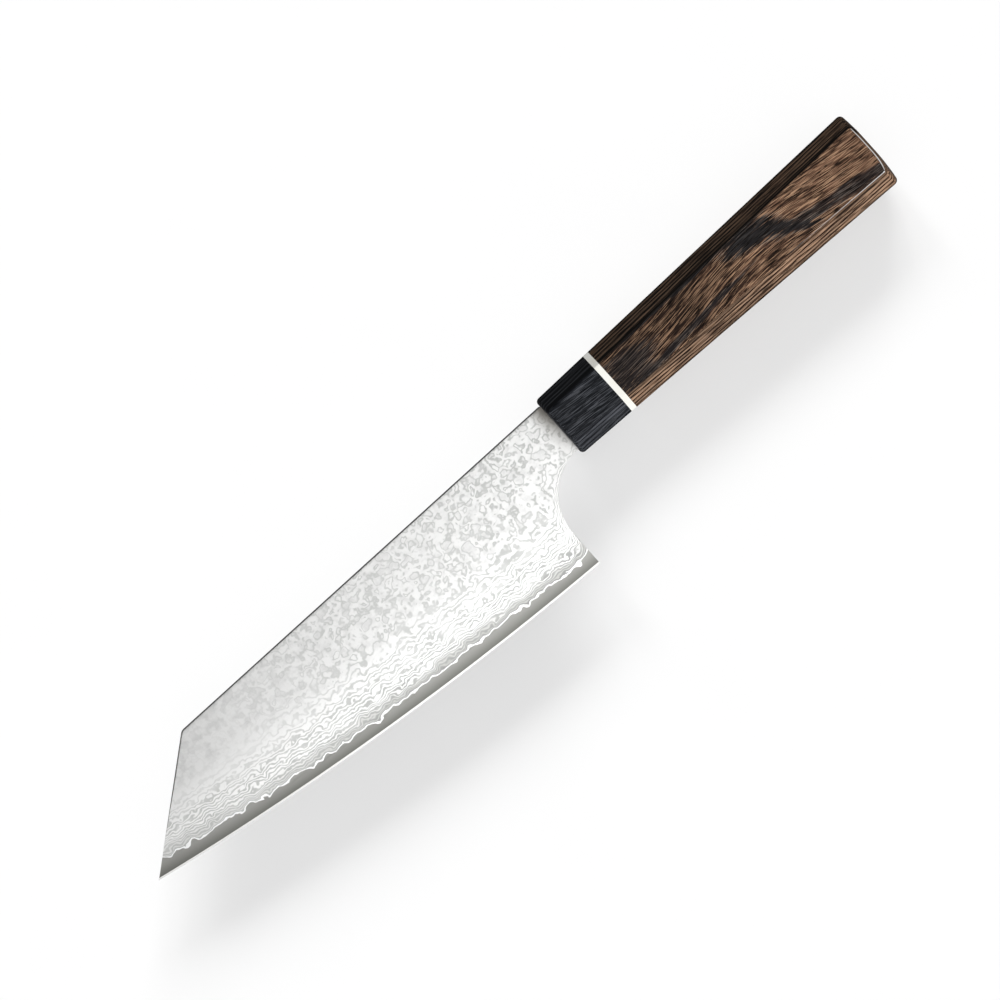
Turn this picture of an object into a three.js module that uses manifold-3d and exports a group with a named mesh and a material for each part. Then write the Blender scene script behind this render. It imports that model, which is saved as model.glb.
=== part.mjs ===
// Bunka kitchen knife: a three-layer blade with a clipped point, in a glued eight-sided handle.
// Millimetres. Every piece is laid out in the knife's own frame: x runs along the handle from the ferrule's
// front face (0) to the butt, y from the cutting edge to the spine, z out of the blade's left face.
import * as THREE from "three";
import { mergeVertices } from "three/addons/utils/BufferGeometryUtils.js";
import Module from "manifold-3d";

const wasm = await Module();
wasm.setup();

// Blade outline
const EDGE_LENGTH = 165; // heel to tip, straight across
const EDGE_BELLY = 3.25; // how far the edge bows out past that straight line
const TIP_RISE = 18; // tip above heel
const HEEL_HEIGHT = 47.7; // spine to edge, at the heel
const NECK_HEIGHT = 17.6; // spine to underside, where the neck meets the ferrule
const CHOIL_RADIUS = 18.2; // quarter circle from the neck's underside down to the heel
const SPINE_ANGLE = 0.2; // degrees that the spine falls towards the point
const CLIP_ANGLE = 39.4; // degrees that the clipped back of the point slopes
const CLIP_ROUND = 2.4; // radius of the corner between spine and clip

// Blade section
const BLADE_THICKNESS = 2;
const BEVEL_HEIGHT = 24; // edge to where the ground bevel fades into the flat
const HONED_HEIGHT = 0.6; // narrow honed bevel along the edge
const HONED_THICKNESS = 0.28; // blade thickness at the top of the honed bevel
const SPINE_EASE = 0.35; // chamfer along both arrises of the spine

// Wavy line on the bevel where the layered cladding ends and the core steel shows
const CORE_HEIGHT = 4.1; // its mean height above the edge
const CORE_SWELL = { length: 112, height: 0.45, phase: 4.82 };
const CORE_WAVE = { length: 10.5, height: 0.4, phase: 1.9 };
const CORE_RIPPLE = { length: 5.6, height: 0.25, phase: 3.1 };

// Handle: an octagon that widens from ferrule to butt
const FRONT_HEIGHT = 21.4;
const BUTT_HEIGHT = 26.9;
const FRONT_WIDTH = 17.5;
const BUTT_WIDTH = 21;
const FACET = 5; // chamfer on the octagon's slanting sides, across and down
const RIDGE_ROUND = 0.7; // radius on the eight long ridges
const FERRULE_LENGTH = 19.7;
const SPACER_LENGTH = 2;
const BODY_LENGTH = 105.5;
const FERRULE_ROUND = 1.25; // radius round the ferrule's front
const BUTT_ROUND = 1.6; // radius round the butt
const BUTT_CROWN = 0.5; // how far the butt's end swells

// Hidden joint: the tang runs through a slotted dowel that ties the handle's sections together
const GLUE_LINE = 0.3; // clearance that the adhesive fills
const TANG_THICKNESS = 1.4; // ground thinner than the blade, so that its shoulder covers the ferrule's slot
const TANG_HEIGHT = 9; // at the shoulder
const TANG_END_HEIGHT = 6;
const TANG_PAST_DOWEL = 30; // stretch of tang that is bedded in potting behind the dowel
const FERRULE_WALL = 4; // ferrule's front wall, which only the tang passes
const DOWEL_LENGTH = 44;
const DOWEL_WALL = 1.2; // least wood outside the corners of the dowel's slot
const POTTING_COVER = 4; // potting behind the tang's end

// Faceting of curves
const CURVE_STEPS = 14; // on the blade outline's curves
const BEVEL_STEPS = 6; // down the convex bevel
const ROUND_STEPS = 4; // on edge rounds and the crowned butt
const RIDGE_STEPS = 2; // on the octagon's ridges
const BORE_SIDES = 32;
const EDGE_STEP = 5; // length of the edge's facets
const WAVE_STEP = 1.1; // length of the wavy line's facets
const OVERCUT = 3; // how far a cutting or trimming form reaches past what it cuts

// Places that follow from those sizes
const radians = THREE.MathUtils.degToRad;
const half = BLADE_THICKNESS / 2;
const spineSlope = Math.tan(radians(SPINE_ANGLE));
const clipSlope = Math.tan(radians(CLIP_ANGLE));
const spineY = (x) => NECK_HEIGHT / 2 + spineSlope * x;
const neckY = spineY(0) - NECK_HEIGHT;
const heel = new THREE.Vector2(-CHOIL_RADIUS, spineY(-CHOIL_RADIUS) - HEEL_HEIGHT);
const tip = new THREE.Vector2(heel.x - Math.sqrt(EDGE_LENGTH ** 2 - TIP_RISE ** 2), heel.y + TIP_RISE);
const clipX = (spineY(0) - tip.y + clipSlope * tip.x) / (clipSlope - spineSlope);
const clipCorner = new THREE.Vector2(clipX, spineY(clipX));
const edgeArc = arcThrough(tip, heel, EDGE_BELLY);
const dowelStart = FERRULE_WALL + GLUE_LINE;
const dowelEnd = dowelStart + DOWEL_LENGTH;
const tangEnd = dowelEnd + TANG_PAST_DOWEL;
const pottingStart = dowelEnd + GLUE_LINE;
const pottingEnd = tangEnd + POTTING_COVER;
const boreEnd = pottingEnd + GLUE_LINE;
const slotHeight = TANG_HEIGHT + 2 * GLUE_LINE;
const slotWidth = TANG_THICKNESS + 2 * GLUE_LINE;
const dowelRadius = Math.hypot(slotHeight, slotWidth) / 2 + DOWEL_WALL;
const boreRadius = dowelRadius + GLUE_LINE;
const spacerStart = FERRULE_LENGTH;
const bodyStart = spacerStart + SPACER_LENGTH;
const handleEnd = bodyStart + BODY_LENGTH;

// Circle through two points that bows down by the given amount between them.
function arcThrough(left, right, bow) {
  const chord = right.clone().sub(left);
  const radius = (chord.lengthSq() / 4 + bow ** 2) / (2 * bow);
  const up = new THREE.Vector2(-chord.y, chord.x).normalize();
  const centre = left.clone().add(right).multiplyScalar(0.5).addScaledVector(up, radius - bow);
  return { centre, radius };
}

// Height of the cutting edge at a place along the knife.
function edgeY(x) {
  return edgeArc.centre.y - Math.sqrt(edgeArc.radius ** 2 - (x - edgeArc.centre.x) ** 2);
}

// Half the ground blade's thickness at a height above the edge: a convex bevel that fades into the flat.
function bevelHalf(height) {
  const fall = half - HONED_THICKNESS / 2;
  const share = (BEVEL_HEIGHT - height) / (BEVEL_HEIGHT - HONED_HEIGHT);
  return half - fall * share ** 2;
}

// Half the core's thickness at a place along the knife. Its ripples put the wavy line on the bevel.
function coreHalf(x) {
  const lift = ({ length, height, phase }) => height * Math.sin((2 * Math.PI * x) / length + phase);
  const waves = lift(CORE_SWELL) + lift(CORE_WAVE) + lift(CORE_RIPPLE);
  return bevelHalf(x < 0 ? CORE_HEIGHT + waves : CORE_HEIGHT);
}

// Evenly spaced numbers from a start to an end, about one step apart.
function stations(start, end, step) {
  const count = Math.ceil((end - start) / step);
  return Array.from({ length: count + 1 }, (_, i) => start + ((end - start) * i) / count);
}

// A closed geometry as a solid that can be joined and cut.
function solidOf(geometry) {
  const bare = geometry.clone();
  bare.deleteAttribute("normal");
  bare.deleteAttribute("uv");
  const merged = mergeVertices(bare);
  const vertProperties = new Float32Array(merged.attributes.position.array);
  const triVerts = new Uint32Array(merged.index.array);
  return new wasm.Manifold(new wasm.Mesh({ numProp: 3, vertProperties, triVerts }));
}

// A solid as a geometry with flat facets.
function geometryOf(solid) {
  const mesh = solid.getMesh();
  const geometry = new THREE.BufferGeometry();
  geometry.setAttribute("position", new THREE.BufferAttribute(new Float32Array(mesh.vertProperties), 3));
  geometry.setIndex(new THREE.BufferAttribute(new Uint32Array(mesh.triVerts), 1));
  const faceted = geometry.toNonIndexed();
  faceted.computeVertexNormals();
  return faceted;
}

// Closed solid through convex rings of [y, z] points, each at its own x, in order of rising x.
// Every ring runs from y towards z.
function loft(rings) {
  const count = rings[0].points.length;
  const positions = rings.flatMap(({ x, points }) => points.flatMap(([y, z]) => [x, y, z]));
  const index = [];
  for (let ring = 0; ring + 1 < rings.length; ring++) {
    for (let i = 0; i < count; i++) {
      const next = (i + 1) % count;
      const [a, b] = [ring * count + i, ring * count + next];
      const [c, d] = [a + count, b + count];
      index.push(a, b, d, a, d, c);
    }
  }
  const last = (rings.length - 1) * count;
  for (let i = 1; i + 1 < count; i++) {
    index.push(0, i + 1, i, last, last + i, last + i + 1);
  }
  const geometry = new THREE.BufferGeometry();
  geometry.setAttribute("position", new THREE.Float32BufferAttribute(positions, 3));
  geometry.setIndex(index);
  return solidOf(geometry);
}

// Flat outline in x and y, given thickness about the blade's middle plane.
function plate(shape, thickness) {
  const geometry = new THREE.ExtrudeGeometry(shape, {
    depth: thickness,
    bevelEnabled: false,
    curveSegments: CURVE_STEPS,
  });
  return solidOf(geometry.translate(0, 0, -thickness / 2));
}

// Round bar along the handle's axis.
function bar(radius, start, end) {
  const geometry = new THREE.CylinderGeometry(radius, radius, end - start, BORE_SIDES);
  return solidOf(geometry.rotateZ(Math.PI / 2).translate((start + end) / 2, 0, 0));
}

// Rectangular bar along the handle's axis.
function block(height, width, start, end) {
  const geometry = new THREE.BoxGeometry(end - start, height, width);
  return solidOf(geometry.translate((start + end) / 2, 0, 0));
}

// Rounds the corners of a convex outline.
function easeCorners(points, radius, steps) {
  return points.flatMap((corner, i) => {
    const before = points.at(i - 1).clone().sub(corner).normalize();
    const after = points[(i + 1) % points.length].clone().sub(corner).normalize();
    const opening = Math.acos(before.dot(after));
    const middle = before.clone().add(after).normalize();
    const centre = corner.clone().addScaledVector(middle, radius / Math.sin(opening / 2));
    const reach = radius / Math.tan(opening / 2);
    const from = corner.clone().addScaledVector(before, reach).sub(centre).angle();
    const turn = Math.PI - opening;
    return Array.from({ length: steps + 1 }, (_, k) => {
      const angle = from + (turn * k) / steps;
      return new THREE.Vector2(Math.cos(angle), Math.sin(angle)).multiplyScalar(radius).add(centre);
    });
  });
}

// Handle section at a place along the axis, drawn in from all its sides by an inset.
function handleRing(x, inset = 0) {
  const share = x / handleEnd;
  const y = THREE.MathUtils.lerp(FRONT_HEIGHT, BUTT_HEIGHT, share) / 2 - inset;
  const z = THREE.MathUtils.lerp(FRONT_WIDTH, BUTT_WIDTH, share) / 2 - inset;
  const cut = FACET - inset * (2 - Math.SQRT2);
  const quarter = [
    [y, z - cut],
    [y - cut, z],
  ];
  const mirrored = quarter.map(([a, b]) => [-a, b]).reverse();
  const upper = [...quarter, ...mirrored];
  const corners = [...upper, ...upper.map(([a, b]) => [-a, -b])].map(([a, b]) => new THREE.Vector2(a, b));
  const points = easeCorners(corners, RIDGE_ROUND, RIDGE_STEPS).map((p) => [p.x, p.y]);
  return { x, points };
}

// Rings that round off an end of the handle: the end plane, the radius, and which way the end faces.
function endRound(end, radius, facing) {
  return Array.from({ length: ROUND_STEPS + 1 }, (_, k) => {
    const angle = (Math.PI / 2) * (k / ROUND_STEPS);
    const x = end - facing * radius * (1 - Math.sin(angle));
    return handleRing(x, radius * (1 - Math.cos(angle)));
  });
}

// Outline stamped from the sheet. Its lower side is straight and lies below the edge that is ground later.
function blankOutline() {
  const below = EDGE_BELLY + OVERCUT;
  const clipWay = new THREE.Vector2(1, clipSlope).normalize();
  const reach = CLIP_ROUND * Math.tan(radians(CLIP_ANGLE - SPINE_ANGLE) / 2);
  const clipEase = clipCorner.clone().addScaledVector(clipWay, -reach);
  const spineEase = new THREE.Vector2(clipX + reach, spineY(clipX + reach));
  const clipFoot = tip.clone().addScaledVector(clipWay, -below / clipWay.y);
  const shape = new THREE.Shape();
  shape.moveTo(clipFoot.x, clipFoot.y);
  shape.lineTo(heel.x, heel.y - below);
  shape.lineTo(heel.x, neckY - CHOIL_RADIUS);
  shape.absarc(0, neckY - CHOIL_RADIUS, CHOIL_RADIUS, Math.PI, Math.PI / 2, true);
  shape.lineTo(0, spineY(0));
  shape.lineTo(spineEase.x, spineEase.y);
  shape.quadraticCurveTo(clipCorner.x, clipCorner.y, clipEase.x, clipEase.y);
  shape.closePath();
  return shape;
}

// Outline of the tapered tang between two places along it, widened all round by a clearance.
function tangOutline(start, end, clearance) {
  const taper = (TANG_HEIGHT - TANG_END_HEIGHT) / 2 / tangEnd;
  const reach = (x) => TANG_HEIGHT / 2 - taper * x + clearance;
  const shape = new THREE.Shape();
  shape.moveTo(start, -reach(start));
  shape.lineTo(end, -reach(end));
  shape.lineTo(end, reach(end));
  shape.lineTo(start, reach(start));
  shape.closePath();
  return shape;
}

// Form that the grinding leaves: the bevel's section, carried along the edge.
function groundForm() {
  const heights = stations(HONED_HEIGHT, BEVEL_HEIGHT, BEVEL_HEIGHT / BEVEL_STEPS);
  const side = [[0, 0], ...heights.map((height) => [height, bevelHalf(height)])];
  const [lastHeight, lastHalf] = side.at(-1);
  const [priorHeight, priorHalf] = side.at(-2);
  const flare = (lastHalf - priorHalf) / (lastHeight - priorHeight);
  const top = HEEL_HEIGHT + BEVEL_HEIGHT;
  side.push([top, lastHalf + flare * (top - lastHeight)]);
  const section = [...side.slice(1).reverse(), ...side.map(([height, z]) => [height, -z])];
  const rings = stations(tip.x - OVERCUT, OVERCUT, EDGE_STEP).map((x) => ({
    x,
    points: section.map(([height, z]) => [edgeY(x) + height, z]),
  }));
  return loft(rings);
}

// Prism that takes the arris off one side of the spine.
function spineEasing(side) {
  const reach = SPINE_EASE + OVERCUT;
  const ring = (x) => {
    const corner = [
      [spineY(x) - SPINE_EASE - OVERCUT, side * (half + OVERCUT)],
      [spineY(x) + OVERCUT, side * (half - reach)],
      [spineY(x) + OVERCUT, side * (half + OVERCUT)],
    ];
    return { x, points: side > 0 ? corner : corner.reverse() };
  };
  return loft([ring(tip.x - OVERCUT), ring(0)]);
}

// One layer of the laminate as a rippled slab, between two surfaces that are given along x.
function layerForm(low, high) {
  const reach = HEEL_HEIGHT + OVERCUT;
  const places = [...stations(tip.x - OVERCUT, 0, WAVE_STEP), tangEnd + OVERCUT];
  const rings = places.map((x) => ({
    x,
    points: [
      [-reach, low(x)],
      [reach, low(x)],
      [reach, high(x)],
      [-reach, high(x)],
    ],
  }));
  return loft(rings);
}

// The whole blade with its tang: stamped, ground, and eased along the spine.
function bladeSolid() {
  const ground = plate(blankOutline(), BLADE_THICKNESS).intersect(groundForm());
  const eased = ground.subtract(spineEasing(1)).subtract(spineEasing(-1));
  return eased.add(plate(tangOutline(-OVERCUT, tangEnd, 0), TANG_THICKNESS));
}

// Slot for the tang, as wide as the tang's root, between two places along the handle.
function tangSlot(start, end) {
  return block(slotHeight, slotWidth, start, end);
}

// Front section of the handle: a slotted wall, with the dowel's bore behind it.
function ferruleSolid() {
  const rings = [...endRound(0, FERRULE_ROUND, -1).reverse(), handleRing(spacerStart)];
  const bore = bar(boreRadius, FERRULE_WALL, spacerStart + OVERCUT);
  return loft(rings).subtract(tangSlot(-OVERCUT, FERRULE_WALL + OVERCUT)).subtract(bore);
}

// Thin ring between ferrule and body.
function spacerSolid() {
  const ring = loft([handleRing(spacerStart), handleRing(bodyStart)]);
  return ring.subtract(bar(boreRadius, spacerStart - OVERCUT, bodyStart + OVERCUT));
}

// Long rear section of the handle, with a blind bore and a crowned butt.
function bodySolid() {
  const shoulder = handleEnd - BUTT_CROWN;
  const rounded = endRound(shoulder, BUTT_ROUND, 1);
  const crown = Array.from({ length: ROUND_STEPS }, (_, k) => {
    const size = 1 - (k + 1) / (ROUND_STEPS + 1);
    const points = rounded.at(-1).points.map(([y, z]) => [y * size, z * size]);
    return { x: shoulder + BUTT_CROWN * (1 - size ** 2), points };
  });
  const bore = bar(boreRadius, bodyStart - OVERCUT, boreEnd);
  return loft([handleRing(bodyStart), ...rounded, ...crown]).subtract(bore);
}

// Dowel through all three sections, slotted from end to end for the tang.
function dowelSolid() {
  return bar(dowelRadius, dowelStart, dowelEnd).subtract(tangSlot(dowelStart - OVERCUT, dowelEnd + OVERCUT));
}

// Cured adhesive that fills the bore behind the dowel and beds the tang's end.
function pottingSolid() {
  const bed = plate(tangOutline(pottingStart - OVERCUT, tangEnd + GLUE_LINE, GLUE_LINE), slotWidth);
  return bar(dowelRadius, pottingStart, pottingEnd).subtract(bed);
}

// Finishes, as seen from a step away.
const finish = (color, metalness, roughness) => new THREE.MeshStandardMaterial({ color, metalness, roughness });
const coreSteel = finish(0x9a9a94, 1, 0.28);
const layeredSteel = finish(0xd9d9d6, 1, 0.42);
const blackLaminate = finish(0x1f2024, 0, 0.45);
const ivoryResin = finish(0xf1eee2, 0, 0.35);
const brownLaminate = finish(0x4a3226, 0, 0.42);
const dowelWood = finish(0xcaa877, 0, 0.7);
const curedEpoxy = finish(0xd8c48c, 0, 0.3);

const knife = new THREE.Group();

function addPiece(name, solid, material) {
  const mesh = new THREE.Mesh(geometryOf(solid), material);
  mesh.name = name;
  knife.add(mesh);
}

const blade = bladeSolid();
const outer = () => half + OVERCUT;
addPiece("blade_core", blade.intersect(layerForm((x) => -coreHalf(x), coreHalf)), coreSteel);
addPiece("cladding_left", blade.intersect(layerForm(coreHalf, outer)), layeredSteel);
addPiece("cladding_right", blade.intersect(layerForm((x) => -outer(x), (x) => -coreHalf(x))), layeredSteel);
addPiece("ferrule", ferruleSolid(), blackLaminate);
addPiece("spacer_ring", spacerSolid(), ivoryResin);
addPiece("handle_body", bodySolid(), brownLaminate);
addPiece("coupling_dowel", dowelSolid(), dowelWood);
addPiece("tang_potting", pottingSolid(), curedEpoxy);

// The knife lies on its right side: origin under the middle of its box, on the surface that it lies on.
const box = new THREE.Box3().setFromObject(knife);
const middle = box.getCenter(new THREE.Vector3());
knife.position.set(-middle.x, -middle.y, -box.min.z);

const part = new THREE.Group();
part.add(knife);
export default part;
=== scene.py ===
"""A bunka kitchen knife on a pale studio floor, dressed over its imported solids.

Every piece is laid out in the knife's own frame, in millimetres: x runs along the handle from the
ferrule's front face towards the butt, y from the cutting edge towards the spine, and z out of the
blade's left face. ORIGIN is that frame's zero in the row frame, in metres.
"""

import logging
import math
from collections.abc import Callable, Sequence
from dataclasses import dataclass
from enum import Enum
from typing import Any

import bmesh
import bpy
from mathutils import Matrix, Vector


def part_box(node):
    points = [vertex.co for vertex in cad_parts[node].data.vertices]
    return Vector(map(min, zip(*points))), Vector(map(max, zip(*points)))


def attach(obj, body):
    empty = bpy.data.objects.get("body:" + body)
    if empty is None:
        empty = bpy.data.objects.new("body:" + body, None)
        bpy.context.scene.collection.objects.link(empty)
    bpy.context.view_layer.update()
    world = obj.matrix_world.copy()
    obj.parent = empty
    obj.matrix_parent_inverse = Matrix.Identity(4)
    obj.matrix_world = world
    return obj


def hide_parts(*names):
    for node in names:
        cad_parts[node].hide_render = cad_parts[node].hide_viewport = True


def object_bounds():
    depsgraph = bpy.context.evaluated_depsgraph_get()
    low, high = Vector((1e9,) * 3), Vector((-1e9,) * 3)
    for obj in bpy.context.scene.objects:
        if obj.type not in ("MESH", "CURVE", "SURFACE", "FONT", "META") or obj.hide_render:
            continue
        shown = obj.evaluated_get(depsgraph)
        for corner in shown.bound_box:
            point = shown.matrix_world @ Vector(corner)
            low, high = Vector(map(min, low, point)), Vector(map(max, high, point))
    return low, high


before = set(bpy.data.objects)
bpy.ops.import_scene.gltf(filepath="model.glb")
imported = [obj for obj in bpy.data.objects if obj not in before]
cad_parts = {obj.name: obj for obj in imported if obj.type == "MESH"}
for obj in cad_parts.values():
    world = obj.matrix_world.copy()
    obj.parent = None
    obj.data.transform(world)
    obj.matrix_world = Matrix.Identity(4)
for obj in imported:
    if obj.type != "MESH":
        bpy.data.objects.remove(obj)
CAD_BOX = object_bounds()

log = logging.getLogger("bunka_knife")

Pair = tuple[float, float]
Triple = tuple[float, float, float]
Socket = bpy.types.NodeSocket

MM = 0.001
# Millimetres within which a place counts as on a line or face, and within which corners are merged.
NEAR = 0.02
DOUBLE = 0.001
FERRULE_LOW, FERRULE_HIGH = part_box("ferrule")
AXIS = (FERRULE_LOW + FERRULE_HIGH) / 2
ORIGIN = Vector((FERRULE_LOW.x, AXIS.y, AXIS.z))


def to_row(point: Sequence[float]) -> Vector:
    """Turns a place in the knife's frame, in millimetres, into row metres."""
    return ORIGIN + Vector(point) * MM


def to_knife(point: Vector) -> Vector:
    """Turns a place in row metres into the knife's frame, in millimetres."""
    return (point - ORIGIN) / MM


def linear(colour: str) -> tuple[float, float, float, float]:
    """Turns an sRGB hex colour such as "#a08060" into linear red, green, blue and alpha.

    Args:
        colour: six hex digits after a hash.

    Returns:
        The linear colour, opaque.
    """
    shares = [int(colour[i:i + 2], 16) / 255 for i in (1, 3, 5)]
    low, high, lift, power = 12.92, 1.055, 0.055, 2.4
    red, green, blue = [s / low if s <= 0.04045 else ((s + lift) / high) ** power for s in shares]
    return red, green, blue, 1.0


class Pick(Enum):
    """Kinds of mesh element that a selection takes."""

    EDGE = "EDGE"
    FACE = "FACE"


class Cut(Enum):
    """What is left of one solid where another one lies."""

    TAKE = "DIFFERENCE"
    KEEP = "INTERSECT"


class Workpiece:
    """A mesh on the bench, shaped by operators. Its places are knife-frame millimetres."""

    def __init__(self, name: str) -> None:
        """Takes over the primitive that was just added, with its place put into its mesh.

        Args:
            name: the piece's name.
        """
        bpy.ops.object.transform_apply(location=True, rotation=True, scale=True)
        self.thing = bpy.context.object
        self.thing.name = name
        self.thing.data.name = name

    @classmethod
    def block(cls, name: str, low: Sequence[float], high: Sequence[float]) -> "Workpiece":
        """Starts from a block.

        Args:
            name: the piece's name.
            low: its lowest corner.
            high: its highest corner.

        Returns:
            The block.
        """
        bpy.ops.object.select_all(action="DESELECT")
        middle = (Vector(low) + Vector(high)) / 2
        size = Vector(high) - Vector(low)
        bpy.ops.mesh.primitive_cube_add(size=MM, location=to_row(middle), scale=size)
        return cls(name)

    @classmethod
    def rod(cls, name: str, radius: float, start: Sequence[float], end: Sequence[float],
            sides: int) -> "Workpiece":
        """Starts from a round bar.

        Args:
            name: the piece's name.
            radius: its radius.
            start: the middle of one end.
            end: the middle of the other end.
            sides: how many flats stand for its round.

        Returns:
            The bar.
        """
        bpy.ops.object.select_all(action="DESELECT")
        way = Vector(end) - Vector(start)
        turn = way.to_track_quat("Z", "Y").to_euler()
        bpy.ops.mesh.primitive_cylinder_add(
            vertices=sides,
            radius=radius * MM,
            depth=way.length * MM,
            location=to_row((Vector(start) + Vector(end)) / 2),
            rotation=turn,
        )
        return cls(name)

    def copy(self, name: str) -> "Workpiece":
        """Makes a second workpiece with its own mesh.

        Args:
            name: the copy's name.

        Returns:
            The copy.
        """
        self.activate()
        bpy.ops.object.duplicate()
        return Workpiece(name)

    def activate(self) -> None:
        """Makes this the only selected piece."""
        bpy.ops.object.select_all(action="DESELECT")
        self.thing.select_set(True)
        bpy.context.view_layer.objects.active = self.thing

    def shape(self, kind: Pick, test: Callable[[list[Vector]], bool], *steps: Callable[[], Any]) -> None:
        """Selects elements by the places of their corners, and runs operators on them in edit mode.

        Args:
            kind: what is selected.
            test: takes an element's corners, and says whether it is selected.
            steps: the operators, in order.
        """
        self.activate()
        bpy.ops.object.mode_set(mode="EDIT")
        bpy.ops.mesh.select_mode(type=kind.value)
        bpy.ops.mesh.select_all(action="DESELECT")
        cage = bmesh.from_edit_mesh(self.thing.data)
        for element in cage.edges if kind is Pick.EDGE else cage.faces:
            if test([to_knife(corner.co) for corner in element.verts]):
                element.select_set(True)
        cage.select_flush_mode()
        bmesh.update_edit_mesh(self.thing.data)
        for step in steps:
            step()
        bpy.ops.object.mode_set(mode="OBJECT")

    def bevel(self, test: Callable[[list[Vector]], bool], width: float, segments: int) -> None:
        """Rounds or chamfers the edges that pass a test.

        Args:
            test: takes an edge's two ends, and says whether it is rounded.
            width: how far the round reaches into each face.
            segments: steps across the round; one makes a chamfer.
        """
        self.shape(Pick.EDGE, test, lambda: bpy.ops.mesh.bevel(
            offset_type="OFFSET", offset=width * MM, segments=segments, affect="EDGES", clamp_overlap=False))

    def trim(self, point: Sequence[float], outward: Sequence[float]) -> None:
        """Cuts the piece along a plane, drops what lies outward of it and closes the cut."""
        self.shape(Pick.FACE, lambda corners: True, lambda: bpy.ops.mesh.bisect(
            plane_co=to_row(point), plane_no=outward, use_fill=True, clear_outer=True))

    def move(self, place: Callable[[Vector], Vector]) -> None:
        """Moves every corner to where a function puts it."""
        for corner in self.thing.data.vertices:
            corner.co = to_row(place(to_knife(corner.co)))

    def combine(self, other: "Workpiece", cut: Cut) -> None:
        """Cuts this piece by another one, which is used up.

        Args:
            other: the piece that cuts.
            cut: what is left.
        """
        self.activate()
        step = self.thing.modifiers.new(cut.name.lower(), "BOOLEAN")
        step.operation = cut.value
        step.solver = "MANIFOLD"
        step.object = other.thing
        bpy.ops.object.modifier_apply(modifier=step.name)
        bpy.data.objects.remove(other.thing)

    def clean(self) -> None:
        """Merges doubles and turns all faces outwards."""
        self.shape(
            Pick.FACE,
            lambda corners: True,
            lambda: bpy.ops.mesh.remove_doubles(threshold=DOUBLE * MM),
            lambda: bpy.ops.mesh.normals_make_consistent(inside=False),
        )

    def polish(self, sharpest: float) -> None:
        """Shades the piece smooth up to an angle, with normals that follow its large faces.

        Args:
            sharpest: edges that turn by more than these degrees stay crisp.
        """
        self.activate()
        bpy.ops.object.shade_smooth_by_angle(angle=math.radians(sharpest))
        step = self.thing.modifiers.new("face_weighted", "WEIGHTED_NORMAL")
        step.keep_sharp = True
        bpy.ops.object.modifier_apply(modifier=step.name)

    def dress(self, material: bpy.types.Material, node: str, slot: str) -> None:
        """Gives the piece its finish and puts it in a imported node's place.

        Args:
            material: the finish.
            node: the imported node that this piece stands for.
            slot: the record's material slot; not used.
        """
        self.thing.data.materials.clear()
        self.thing.data.materials.append(material)
        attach(self.thing, "root")
        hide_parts(node)
        log.info("%s stands for %s: %d faces", self.thing.name, node, len(self.thing.data.polygons))


# Sockets of a Mix node for colours, and the setting that eases a Map Range at both ends.
MIX_A = 6
MIX_B = 7
MIX_RESULT = 2
SOFT = {"interpolation_type": "SMOOTHSTEP"}


class Graph:
    """The node graph of one material, from its Object coordinates to one Principled shader."""

    def __init__(self, name: str) -> None:
        """Starts an empty graph with a place in knife-frame millimetres, also as x, y and z.

        Args:
            name: the material's name.
        """
        self.material = bpy.data.materials.new(name)
        self.material.use_nodes = True
        self.tree = self.material.node_tree
        self.tree.nodes.clear()
        place = self.add("TexCoord", out="Object")
        zero = tuple(-share / MM for share in ORIGIN)
        self.place = self.add("VectorMath", (place, (1 / MM,) * 3, zero), operation="MULTIPLY_ADD")
        self.x, self.y, self.z = self.add("SeparateXYZ", (self.place,)).node.outputs

    def add(self, kind: str, inputs: Sequence[Any] | dict[Any, Any] = (), out: Any = 0,
            **settings: Any) -> Socket | None:
        """Adds a shader node with its settings, values and links.

        Args:
            kind: the node's type, without the words ShaderNode.
            inputs: a value, or another node's output, for each input, in their order or by name.
            out: which output is given back.
            settings: the node's own properties.

        Returns:
            The chosen output, or nothing where the node has none.
        """
        node = self.tree.nodes.new("ShaderNode" + kind)
        for name, value in settings.items():
            setattr(node, name, value)
        for key, value in inputs.items() if isinstance(inputs, dict) else enumerate(inputs):
            if isinstance(value, Socket):
                self.tree.links.new(value, node.inputs[key])
            else:
                node.inputs[key].default_value = value
        return node.outputs[out] if node.outputs else None

    def facing(self, way: Sequence[float], low: float, high: float) -> Socket:
        """How far the surface faces a direction, as a share.

        Args:
            way: the direction, of length 1.
            low: cosine of the angle at which the share starts.
            high: cosine of the angle at which it is full.

        Returns:
            The share.
        """
        normal = self.add("NewGeometry", out="Normal")
        turned = self.add("VectorMath", (normal, way), "Value", operation="DOT_PRODUCT")
        return self.add("MapRange", (turned, low, high), **SOFT)

    def coats(self, ground: str, *layers: tuple[Any, str | Socket]) -> Any:
        """Lays colours over a ground, one after the other.

        Args:
            ground: the hex colour below them all.
            layers: for each coat, the share of the surface that it covers and its colour.

        Returns:
            The colour that shows.
        """
        shown = linear(ground)
        for share, colour in layers:
            paint = linear(colour) if isinstance(colour, str) else colour
            shown = self.add("Mix", {0: share, MIX_A: shown, MIX_B: paint}, MIX_RESULT, data_type="RGBA")
        return shown

    def finish(self, inputs: dict[str, Any]) -> bpy.types.Material:
        """Ends the graph in a Principled shader with the given inputs.

        Args:
            inputs: a value or an output for each of the shader's sockets.

        Returns:
            The finished material.
        """
        shader = self.add("BsdfPrincipled", inputs)
        self.add("OutputMaterial", (shader,))
        return self.material


@dataclass(frozen=True)
class Wave:
    """One ripple of the core's surface, which the grinding turns into waves on the bevel."""

    length: float
    height: float
    phase: float

    def lift(self, x: float) -> float:
        """How far the wavy line is lifted at a place along the knife."""
        return self.height * math.sin(2 * math.pi * x / self.length + self.phase)


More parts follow.
